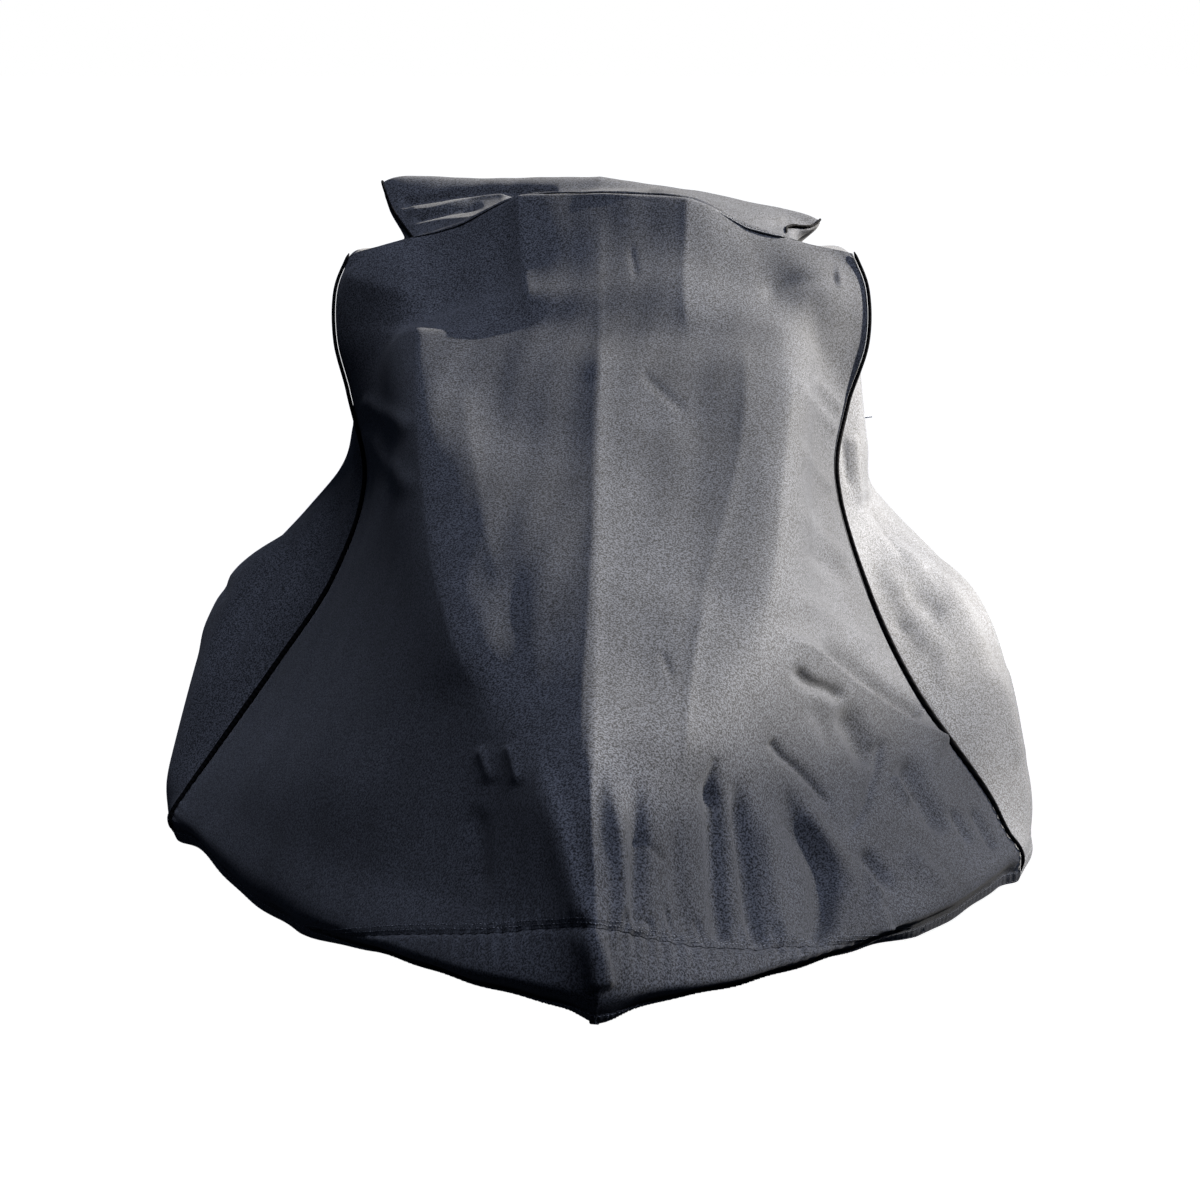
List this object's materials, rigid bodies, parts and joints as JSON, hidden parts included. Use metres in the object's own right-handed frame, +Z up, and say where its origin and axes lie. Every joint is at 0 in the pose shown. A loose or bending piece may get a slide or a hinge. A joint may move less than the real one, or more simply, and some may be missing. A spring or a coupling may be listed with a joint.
{
  "type": "personal watercraft cover",
  "caption": "Fitted woven cover with a faceted hood, corded side seams, a stitched bow patch and a raised handlebar end, hanging open below.",
  "frame": {"origin": "the point inside the cover, under the middle of the handlebar panel, that the cover hangs from", "axes": "+Z up, the bow towards -Y and the stern towards +Y, +X to the right seen from in front of the bow"},
  "size_m": [1.3048, 3.3499, 0.9622],
  "materials": {
    "canvas": "black plain-woven polyester with a dull sheen and a heathered grain",
    "piping": "black corded piping",
    "tab": "pale grey folded tape"
  },
  "bodies": {
    "root": {"hood_panel": "canvas", "bow_patch_left": "canvas", "bow_patch_right": "canvas", "handlebar_panel": "canvas", "handlebar_end_left": "canvas", "handlebar_end_right": "canvas", "side_panel_left": "canvas", "side_panel_right": "canvas", "rear_panel_left": "canvas", "rear_panel_right": "canvas", "seat_panel": "canvas", "side_piping_left": "piping", "side_piping_right": "piping", "bar_piping_left": "piping", "bar_piping_right": "piping", "flap_binding": "piping", "side_tab": "tab"}
  },
  "joints": []
}
